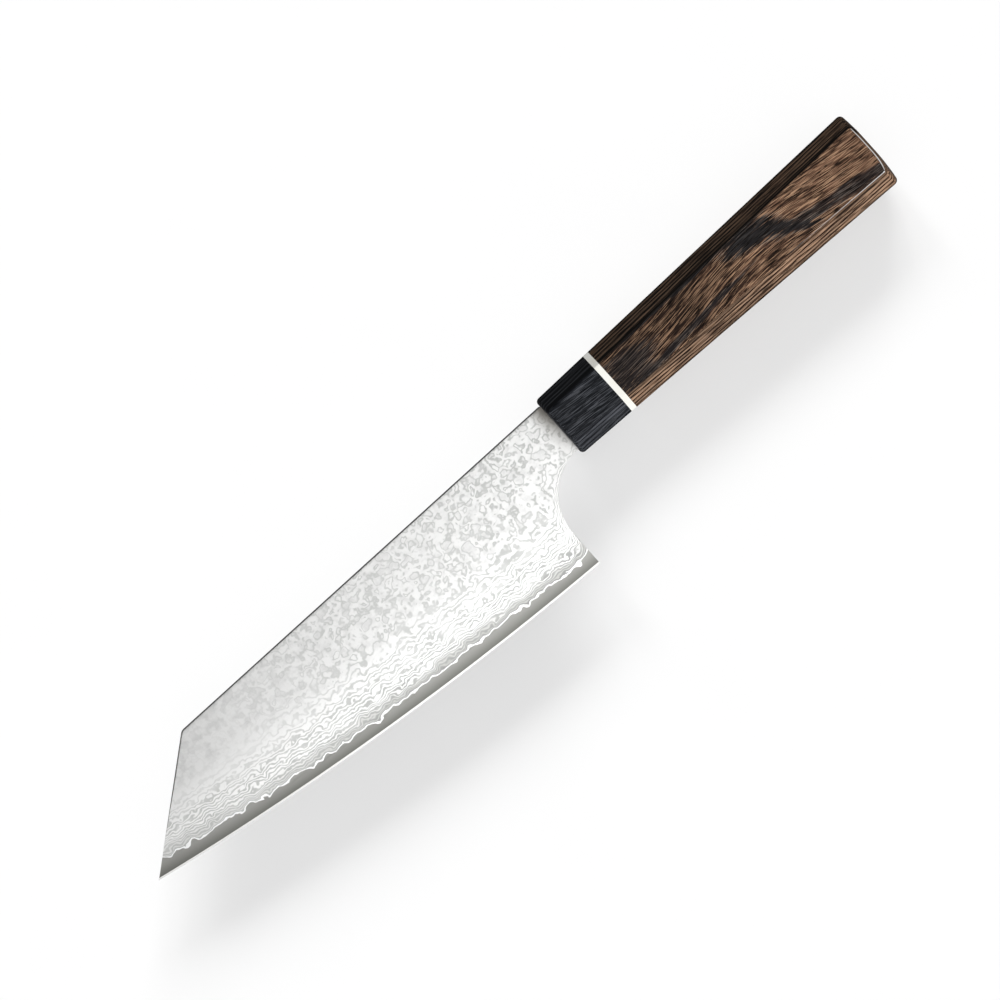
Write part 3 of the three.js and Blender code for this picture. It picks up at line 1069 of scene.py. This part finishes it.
@dataclass(frozen=True)
class LaminatedWood:
    """Dyed veneers pressed in resin, shaped, sanded along the grain and thinly lacquered.

    The veneers are stacked across the handle's thickness, so a chamfer cuts them into fine even lines.
    The wide side runs along them: there one veneer shows, with short light and dark fibres that climb
    over a hill, and streaks of a darker dye; a streak can also lay painted shade along the upper ridge.
    The upper chamfer gets painted shade, and rounded edges at the butt get a painted highlight. Sizes are
    millimetres, a range is where a share of the noise or the depth starts and where it is full, and a
    fibre is drawn as coarse as it has to be to show.
    """

    name: str
    light: str
    middle: str
    dark: str
    pore: str
    # Tone of the dye streaks, and of the painted shade that a streak lays along the upper ridge.
    streak: str
    fleck: str
    frost: str
    painted_highlight_tone: str
    streaks: tuple[Streak, ...] = ()
    veneer: float = 0.95
    fibre_length: float = 9.5
    fibre_width: float = 0.42
    hair: Pair = (0.8, 0.58)
    hair_range: Pair = (0.53, 0.585)
    hair_cloud: Pair = (0.35, 0.6)
    hair_share: Pair = (0.45, 0.95)
    grain: Pair = (1.1, 1.9)
    pores: Pair = (0.6, 0.54)
    pore_range: Pair = (0.45, 0.4)
    pore_share: Pair = (0.92, 0.85)
    fleck_range: Pair = (0.62, 0.7)
    fleck_share: float = 0.6
    cloud_length: float = 22
    cloud_width: float = 5
    tone_range: Pair = (0.37, 0.63)
    tone: Pair = (-1.32, -0.02)
    grain_weight: float = 0.35
    cloud_weight: float = 1.3
    ridge: Pair = (0.5, 0.1)
    edge_stretch: float = 0.45
    joint_fibre: float = 0.2
    joint_cloud: float = 1.6
    joint_y: Pair = (0, 5)
    joint_width: Pair = (0.17, 0.36)
    joint_full: float = 0.03
    joint_range: Pair = (0.38, 0.56)
    joint_least: float = 0.35
    sheet_range: Pair = (0.2, 0.4)
    sheet_share: float = 0.5
    hill_at: float = 80
    hill_width: float = 34
    hill_rise: float = 6
    lean: float = 0
    crease_depth: Pair = (1, 0.5)
    crease_share: float = 0.55
    outer_depth: Pair = (4.2, 5)
    outer_share: float = 0.6
    # Painted shade on the upper chamfer: where it starts and how strong it is, and its darker band by the
    # ridge.
    upper_shade_y: Pair = (5, 6.5)
    upper_shade: float = 0.22
    ridge_shade_depth: Pair = (1.25, 0.6)
    ridge_shade_times: float = 4.5
    paler_end: float = 1.25
    paler_edge: float = 0.4
    paler_hair: float = 0.55
    paler_pores: float = 0.035
    ragged_cloud: float = 1.8
    ragged_fibre: float = 4.7
    ragged_inset: float = 3.6
    streak_bare: float = 0.95
    # Where the painted highlight lies: towards the butt, on edges facing the two given ways.
    painted_highlight_x: Pair = (86, 120)
    highlight_side_way: Triple = (0.156, -0.419, 0.894)
    highlight_side_range: Pair = (0.968, 0.986)
    highlight_butt_way: Triple = (0.442, -0.045, 0.896)
    highlight_butt_range: Pair = (0.99, 0.9985)
    satin_range: Pair = (0.3, 0.7)
    satin: Pair = (0.6, 0.48)
    specular: float = 0.0
    coat: float = 0.5
    coat_satin: float = 0.1
    bump_strength: float = 0.2
    bump_depth: float = 0.03

    def build(self, handle: Handle) -> bpy.types.Material:
        """Builds the material.

        Args:
            handle: gives the taper that the veneers are cut by.

        Returns:
            The finished material.
        """
        g = Graph(self.name)
        thick = g.add("Math", (g.z,), operation="ABSOLUTE")
        halves = (handle.front_width / 2, handle.butt_width / 2)
        side = g.add("MapRange", (g.x, 0.0, handle.end, *halves), clamp=False)
        deep = g.add("Math", (side, thick), operation="SUBTRACT")
        flat = g.add("MapRange", (deep, *self.ridge), **SOFT)
        edge_on = g.add("Math", (1.0, flat), operation="SUBTRACT")

        # Fibres: stretched noise that climbs over a hill on the wide side, and runs longer on the chamfers.
        along = g.add("Math", (g.x, 1 / self.hill_width, -self.hill_at / self.hill_width),
                      operation="MULTIPLY_ADD")
        along = g.add("Math", (along, along), operation="MULTIPLY")
        along = g.add("Math", (along, -1.0), operation="MULTIPLY")
        hill = g.add("Math", (along,), operation="EXPONENT")
        lean = g.add("Math", (g.x, -self.lean), operation="MULTIPLY")
        hill = g.add("Math", (hill, self.hill_rise, lean), operation="MULTIPLY_ADD")
        hill = g.add("Math", (hill, flat), operation="MULTIPLY")
        level = g.add("Math", (g.y, hill), operation="SUBTRACT")
        longer = g.add("MapRange", (edge_on, 0.0, 1.0, 1.0, self.edge_stretch))
        longer = g.add("Math", (g.x, longer), operation="MULTIPLY")
        bent = g.add("CombineXYZ", (longer, level, g.z))
        spread = (1 / self.fibre_length, 1 / self.fibre_width, 1 / self.fibre_width)
        strands = g.add("VectorMath", (bent, spread), operation="MULTIPLY")
        fibre = g.add("TexNoise", {"Vector": strands, "Scale": 1.0, "Detail": 4.0, "Roughness": 0.68})
        finer = []
        for (length, width), shift in (
                (self.hair, (7, 3, 5)), (self.grain, (3, 17, 9)), (self.pores, (19, 11, 13))):
            spread = (1 / length, 1 / width, 1 / width)
            place = g.add("VectorMath", (strands, spread, shift), operation="MULTIPLY_ADD")
            finer.append(g.add("TexNoise", {"Vector": place, "Scale": 1.0, "Detail": 1.0}))
        hair, grain, pores = finer
        spread = (1 / self.cloud_length, 1 / self.cloud_width, 1 / self.cloud_width)
        place = g.add("VectorMath", (bent, spread), operation="MULTIPLY")
        cloud = g.add("TexNoise", {"Vector": place, "Scale": 1.0, "Detail": 2.0, "Roughness": 0.5})

        # Veneers come through as even lines where the chamfers cut them.
        stack = g.add("Math", (fibre, self.joint_fibre, deep), operation="MULTIPLY_ADD")
        stack = g.add("Math", (cloud, self.joint_cloud, stack), operation="MULTIPLY_ADD")
        stack = g.add("Math", (stack, 1 / self.veneer), operation="MULTIPLY")
        phase = g.add("Math", (stack, 0.5), operation="PINGPONG")
        # The lines widen towards the upper side, which also darkens the upper chamfer as painted shade.
        reach = g.add("MapRange", (g.y, *self.joint_y, *self.joint_width))
        joint = g.add("MapRange", (phase, reach, self.joint_full))
        broken = g.add("MapRange", (grain, *self.joint_range, self.joint_least))
        joint = g.add("Math", (joint, broken), operation="MULTIPLY")
        joint = g.add("Math", (joint, edge_on), operation="MULTIPLY")
        sheet = g.add("MapRange", (phase, *self.sheet_range, 0.0, self.sheet_share))
        sheet = g.add("Math", (sheet, edge_on), operation="MULTIPLY")

        # The wood pales towards the butt, where it also has more hairs and fewer pores.
        paler = (-self.paler_end / 2, self.paler_end / 2)
        ends = g.add("MapRange", (g.x, handle.body_start, handle.end, *paler))
        even = g.add("Math", (edge_on, self.paler_edge - 1, 1.0), operation="MULTIPLY_ADD")
        ends = g.add("Math", (ends, even), operation="MULTIPLY")
        tone = g.add("MapRange", (fibre, *self.tone_range, *self.tone))
        tone = g.add("Math", (grain, self.grain_weight, tone), operation="MULTIPLY_ADD")
        tone = g.add("Math", (cloud, self.cloud_weight, tone), operation="MULTIPLY_ADD")
        tone = g.add("Math", (tone, ends), operation="ADD", use_clamp=True)
        often = g.add("MapRange", (cloud, *self.hair_cloud, *self.hair_share))
        often = g.add("Math", (ends, self.paler_hair, often), operation="MULTIPLY_ADD", use_clamp=True)
        hair = g.add("MapRange", (hair, *self.hair_range))
        hair = g.add("Math", (hair, often), operation="MULTIPLY")
        pores = g.add("Math", (ends, -self.paler_pores, pores), operation="MULTIPLY_ADD")
        pores = g.add("MapRange", (pores, *self.pore_range))
        often = g.add("MapRange", (edge_on, 0.0, 1.0, *self.pore_share))
        pores = g.add("Math", (pores, often), operation="MULTIPLY")
        fleck = g.add("MapRange", (fibre, *self.fleck_range, 0.0, self.fleck_share))

        # Streaks have a ragged limit, grey hairs near it, and hardly any hair along their middle.
        ragged = g.add("Math", (cloud, self.ragged_cloud, -self.ragged_inset), operation="MULTIPLY_ADD")
        ragged = g.add("Math", (fibre, self.ragged_fibre, ragged), operation="MULTIPLY_ADD")
        dye_and_shade = 0.0
        for streak in self.streaks:
            dye_and_shade = g.add("Math", (streak.mask(g, ragged), dye_and_shade), operation="MAXIMUM")
        dye_and_shade = g.add("Math", (dye_and_shade, flat), operation="MULTIPLY")
        bare = g.add("Math", (dye_and_shade, 3.0), operation="POWER")
        bare = g.add("Math", (bare, -self.streak_bare, 1.0), operation="MULTIPLY_ADD")
        hair = g.add("Math", (hair, bare), operation="MULTIPLY")
        fleck = g.add("Math", (fleck, bare), operation="MULTIPLY")
        pale = g.coats(self.light, (dye_and_shade, self.frost))

        # The chamfers are darker along both of their ridges. The upper chamfer gets painted shade, deepest in
        # a band along its ridge with the wide side.
        crease = g.add("MapRange", (deep, *self.crease_depth, 0.0, self.crease_share))
        outer = g.add("MapRange", (deep, *self.outer_depth, 0.0, self.outer_share))
        crease = g.add("Math", (crease, outer), operation="MAXIMUM")
        crease = g.add("Math", (crease, edge_on), operation="MULTIPLY")
        upper = g.add("MapRange", (g.y, *self.upper_shade_y, 0.0, self.upper_shade))
        upper = g.add("Math", (upper, edge_on), operation="MULTIPLY")
        ridge_painted_shade = g.add("MapRange", (deep, *self.ridge_shade_depth, 0.0, self.ridge_shade_times))
        ridge_painted_shade = g.add("Math", (ridge_painted_shade, upper), operation="MULTIPLY", use_clamp=True)

        # Painted highlight: rounded edges towards the butt that face two set ways are painted pale, as a thin
        # line of shine.
        fade = g.add("MapRange", (g.x, *self.painted_highlight_x))
        worn = g.add("Math", (g.facing(self.highlight_side_way, *self.highlight_side_range), fade), operation="MULTIPLY")
        worn = g.add("Math", (g.facing(self.highlight_butt_way, *self.highlight_butt_range), worn), operation="MAXIMUM")
        wood = g.coats(
            self.dark, (tone, self.middle), (dye_and_shade, self.streak), (hair, pale), (sheet, self.fleck),
            (pores, self.pore), (joint, self.pore), (fleck, self.fleck), (crease, self.pore),
            (upper, self.pore), (ridge_painted_shade, self.pore), (worn, self.painted_highlight_tone))

        depth = self.bump_depth * MM
        return g.finish({
            "Base Color": wood,
            "Roughness": g.add("MapRange", (fibre, *self.satin_range, *self.satin)),
            "Specular IOR Level": self.specular,
            "Coat Weight": self.coat,
            "Coat Roughness": self.coat_satin,
            "Normal": g.add("Bump", {"Height": fibre, "Strength": self.bump_strength, "Distance": depth}),
        })


@dataclass(frozen=True)
class MottledSolid:
    """A cast or turned solid with faint clouding: ivory resin, raw dowel wood or cured adhesive."""

    name: str
    pale: str
    deep: str
    cloud: Triple
    roughness: float
    cloud_range: Pair = (0.35, 0.65)
    satin_reach: float = 0.05
    bump_strength: float = 0.15
    bump_depth: float = 0.02

    def build(self) -> bpy.types.Material:
        """Builds the material.

        Returns:
            The finished material.
        """
        g = Graph(self.name)
        spread = tuple(1 / size for size in self.cloud)
        cells = g.add("VectorMath", (g.place, spread), operation="MULTIPLY")
        cloud = g.add("TexNoise", {"Vector": cells, "Scale": 1.0, "Detail": 3.0, "Roughness": 0.55})
        tone = g.add("MapRange", (cloud, *self.cloud_range))
        satin = (self.roughness - self.satin_reach, self.roughness + self.satin_reach)
        depth = self.bump_depth * MM
        return g.finish({
            "Base Color": g.coats(self.deep, (tone, self.pale)),
            "Roughness": g.add("MapRange", (cloud, 0.0, 1.0, *satin)),
            "Normal": g.add("Bump", {"Height": cloud, "Strength": self.bump_strength, "Distance": depth}),
        })


@dataclass
class Studio:
    """Pale floor, soft lights and a camera straight above the knife. Places are knife-frame millimetres."""

    turn: float = -42
    aim: Pair = (-28.0, -4.4)
    frame_width: float = 303.5
    lens: float = 200
    sensor: float = 36
    floor_size: float = 14
    floor_gap: float = 0.01
    floor_tones: tuple[str, str] = ("#f2f2f2", "#f4f4f4")
    floor_cloud: float = 40
    sky: float = 0.14
    wash: float = 1.41
    panels: int = 8
    panel_away: float = 1500
    panel_rise: float = 0.42
    panel_size: Pair = (1240, 950)
    panel_light: float = 0.8
    shadow_softness: float = 15

    def camera(self) -> None:
        """Hangs the camera over the middle of the photographed frame."""
        away = self.frame_width * self.lens / self.sensor
        place = to_row((*self.aim, away))
        bpy.ops.object.camera_add(location=place, rotation=(0, 0, math.radians(self.turn)))
        eye = bpy.context.object
        eye.data.lens = self.lens
        eye.data.sensor_width = self.sensor
        bpy.context.scene.camera = eye
        bpy.context.scene.view_settings.view_transform = "Standard"

    def floor(self) -> bpy.types.Object:
        """Lays the floor that the knife rests on, in matt paper with a trace of clouding.

        Returns:
            The floor's object.
        """
        bpy.ops.object.select_all(action="DESELECT")
        below = CAD_BOX[0].z - self.floor_gap * MM
        bpy.ops.mesh.primitive_plane_add(size=self.floor_size, location=(0, 0, below))
        ground = bpy.context.object
        ground.name = "studio_floor"
        bpy.ops.object.transform_apply(location=True, rotation=True, scale=True)
        g = Graph("matt_paper")
        cloud = g.add("TexNoise", {"Vector": g.place, "Scale": 1 / self.floor_cloud, "Detail": 2.0})
        tone = g.coats(self.floor_tones[0], (cloud, self.floor_tones[1]))
        paper = g.finish({"Base Color": tone, "Roughness": 0.9, "Specular IOR Level": 0.0})
        ground.data.materials.append(paper)
        ground.visible_diffuse = False
        ground.visible_glossy = False
        return ground

    def group(self, name: str, things: list[bpy.types.Object]) -> bpy.types.Collection:
        """Gathers things for a light.

        Args:
            name: the group's name.
            things: what goes into it.

        Returns:
            The group.
        """
        gathered = bpy.data.collections.new(name)
        for thing in things:
            gathered.objects.link(thing)
        return gathered

    def lamp(self, kind: str, name: str, way: Vector, reach: list[bpy.types.Object],
             place: Sequence[float] = (0, 0, 0)) -> bpy.types.Object:
        """Adds a light that reaches only some things.

        Args:
            kind: Blender's type of light.
            name: the light's name.
            way: where it shines.
            reach: the things that it lights.
            place: its middle.

        Returns:
            The light's object.
        """
        turn = way.to_track_quat("-Z", "Y").to_euler()
        bpy.ops.object.light_add(type=kind, location=to_row(place), rotation=turn)
        lamp = bpy.context.object
        lamp.name = name
        lamp.light_linking.receiver_collection = self.group(name + "_reach", reach)
        return lamp

    def light_knife(self, pieces: list[bpy.types.Object], blade: list[bpy.types.Object]) -> None:
        """Hangs soft boxes round the knife, most of them for one of its finishes.

        Each has a name, what it lights, whether it is seen in gloss, its place, its size, how bright its
        face is, and where it aims.

        Args:
            pieces: the knife's pieces.
            blade: those of steel.
        """
        ring = [piece for piece in pieces if "ivory" in piece.data.materials[0].name]
        boxes = [
            ("overhead", blade, True, (110, -260, 800), (620, 520), 1.98, (110, -260, 0)),
            ("edge_glint", blade, True, (-400, -420, 800), (720, 340), 1.4, (-400, -20, 0)),
            ("edge_side", pieces, False, (40, -850, 950), (900, 500), 9.5, (60, 0, 0)),
            ("clip_side", blade, True, (-800, 500, 800), (400, 400), 1.2, (-150, 0, 0)),
            ("ring_fill", ring, False, (20, 1000, 500), (500, 500), 5.5, (20, 0, 0)),
            ("ring_glow", ring, False, (20, -500, 900), (400, 400), 3.6, (20, 0, 0)),
        ]
        for step in range(self.panels):
            angle = 2 * math.pi * step / self.panels
            place = Vector((math.cos(angle), math.sin(angle), self.panel_rise)) * self.panel_away
            boxes.append(("low_panel", blade, True, place, self.panel_size, self.panel_light, (0, 0, 0)))
        for name, reach, mirrored, place, size, radiance, aim in boxes:
            box = self.lamp("AREA", name, Vector(aim) - Vector(place), reach, place)
            box.visible_glossy = mirrored
            box.data.shape = "RECTANGLE"
            box.data.size = size[0] * MM
            box.data.size_y = size[1] * MM
            box.data.energy = radiance * math.pi * box.data.size * box.data.size_y

    def light_floor(self, ground: bpy.types.Object, pieces: list[bpy.types.Object],
                    blade: list[bpy.types.Object]) -> None:
        """Washes the floor with even light, and lets blade and handle each cast a wide soft shadow.

        A shadow comes from three suns side by side. It has a name, what casts it, how far each sun leans
        along the knife, how far they all lean across it, and the light that they give the floor together.

        Args:
            ground: the floor.
            pieces: the knife's pieces.
            blade: those of steel.
        """
        wash = self.lamp("SUN", "floor_wash", Vector((0, 0, -1)), [ground])
        wash.data.energy = self.wash
        wash.data.use_shadow = False
        plates = [piece for piece in blade if "tang" not in piece.name]
        rest = [piece for piece in pieces if piece not in blade]
        shadows = (
            ("blade_shadow", plates, (-2.7, -1.4, -0.1), -2.7, 0.872),
            ("handle_shadow", rest, (-1.5, -0.8, -0.1), -1.63, 0.803),
        )
        for name, casters, leans, fall, irradiance in shadows:
            blockers = self.group(name + "_casters", casters)
            for lean in leans:
                way = Vector((lean, fall, -1))
                sun = self.lamp("SUN", name, way, [ground])
                sun.data.energy = irradiance * way.length / len(leans)
                sun.data.angle = math.radians(self.shadow_softness)
                sun.light_linking.blocker_collection = blockers

    def build(self, pieces: list[bpy.types.Object]) -> None:
        """Sets up floor, camera and lights.

        Args:
            pieces: the knife's pieces.
        """
        ground = self.floor()
        self.camera()
        sky = bpy.data.worlds.new("studio")
        sky.use_nodes = True
        sky.node_tree.nodes["Background"].inputs["Color"].default_value = (1, 1, 1, 1)
        sky.node_tree.nodes["Background"].inputs["Strength"].default_value = self.sky
        bpy.context.scene.world = sky
        blade = [piece for piece in pieces if "steel" in piece.data.materials[0].name]
        self.light_knife(pieces, blade)
        self.light_floor(ground, pieces, blade)


def dress_node(name: str, material: bpy.types.Material) -> bpy.types.Object:
    """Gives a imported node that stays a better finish.

    Args:
        name: the node's name.
        material: its finish.

    Returns:
        The node's object.
    """
    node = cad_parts[name]
    node.data.materials.clear()
    node.data.materials.append(material)
    log.info("%s keeps its packed shape, in %s", name, material.name)
    return node


def main() -> None:
    """Builds the knife and its studio, and reports each piece."""
    logging.basicConfig(level=logging.INFO, format="%(message)s")
    blade = Blade()
    handle = Handle()
    black = LaminatedWood(
        "black_dyed_laminate", light="#66686e", middle="#44474d", dark="#242629", pore="#0d1015",
        streak="#15171c", fleck="#66686e", frost="#5c5f64", painted_highlight_tone="#26282d",
        # The ferrule's one streak is painted shade along the top of its wide side, by the upper ridge.
        streaks=(Streak(-6, 30, 6.3, 0.02, 0.75),), hill_rise=0, lean=0.1, upper_shade=0.3, paler_end=0)
    brown = LaminatedWood(
        "brown_dyed_laminate", light="#d2a887", middle="#906c56", dark="#30231d", pore="#0d0806",
        streak="#272628", fleck="#dab598", frost="#928e8b", painted_highlight_tone="#fbfaf9",
        streaks=(
            Streak(72, 90, 4.3, -0.1, 2.6, 0.97),
            Streak(82, 98, 0.0, -0.6, 2.2, 0.97),
            Streak(86, 132, -4.6, -0.155, 1.7, 0.86),
            Streak(16, 70, -5.1, 0.085, 0.9, 0.8),
            # This streak is painted shade along the top of the wide side, by the upper ridge, not dye.
            Streak(26, 84, 7.3, 0.012, 0.9),
            Streak(10, 36, -1.0, 0, 4.4, 0.7),
        ))
    ivory = MottledSolid("cast_ivory_resin", "#fffffa", "#fbf9ef", (3, 3, 3), 0.35)
    dowel = MottledSolid("turned_dowel_wood", "#d8ba8a", "#b8935f", (14, 0.7, 0.7), 0.7)
    epoxy = MottledSolid("cured_epoxy", "#dccb98", "#cdb67c", (4, 4, 4), 0.3)
    pieces = blade.build(LayeredSteel().build(blade))
    pieces += handle.build(black.build(handle), ivory.build(), brown.build(handle))
    pieces.append(dress_node("coupling_dowel", dowel.build()))
    pieces.append(dress_node("tang_potting", epoxy.build()))
    Studio().build(pieces)


if __name__ == "__main__":
    main()
